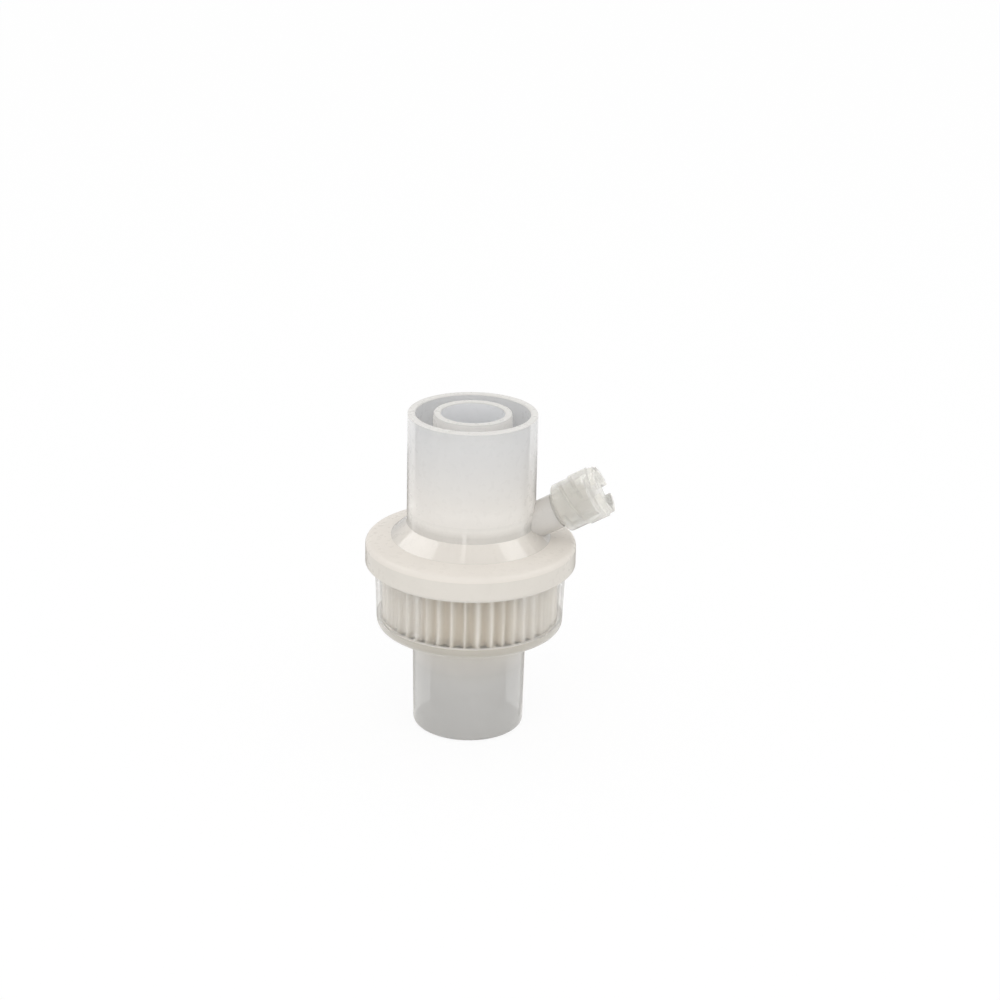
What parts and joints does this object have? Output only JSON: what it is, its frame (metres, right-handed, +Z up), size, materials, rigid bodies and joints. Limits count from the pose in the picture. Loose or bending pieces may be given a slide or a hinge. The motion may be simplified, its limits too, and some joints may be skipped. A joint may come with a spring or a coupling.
{
  "type": "breathing circuit filter",
  "caption": "Small heat and moisture exchanging breathing filter: coaxial conical ports, fluted paper roll, felt disc and a capped luer gas port.",
  "frame": {"origin": "centre of the lower rim, on which the filter stands", "axes": "+Z up along the common axis of the ports, +X the side that the gas port points to"},
  "size_m": [0.0488, 0.0414, 0.0652],
  "materials": {
    "clear_housing": "clear moulded polypropylene, smooth",
    "frosted_housing": "translucent milky polypropylene, satin gloss",
    "filter_felt": "white electrostatic filter felt, matte",
    "fluted_paper": "creamy uncoated corrugated paper, matte",
    "clear_cap": "clear moulded plastic, glossy"
  },
  "bodies": {
    "housing": {"lower_housing": "clear_housing", "upper_housing": "frosted_housing", "filter_disc": "filter_felt", "paper_roll": "fluted_paper"},
    "cap": {"port_cap": "clear_cap"}
  },
  "joints": [
    {"name": "cap_pull", "type": "slide", "parent": "housing", "child": "cap", "axis": [0.8712, 0, 0.4909], "range_m": [0, 0.012]}
  ]
}
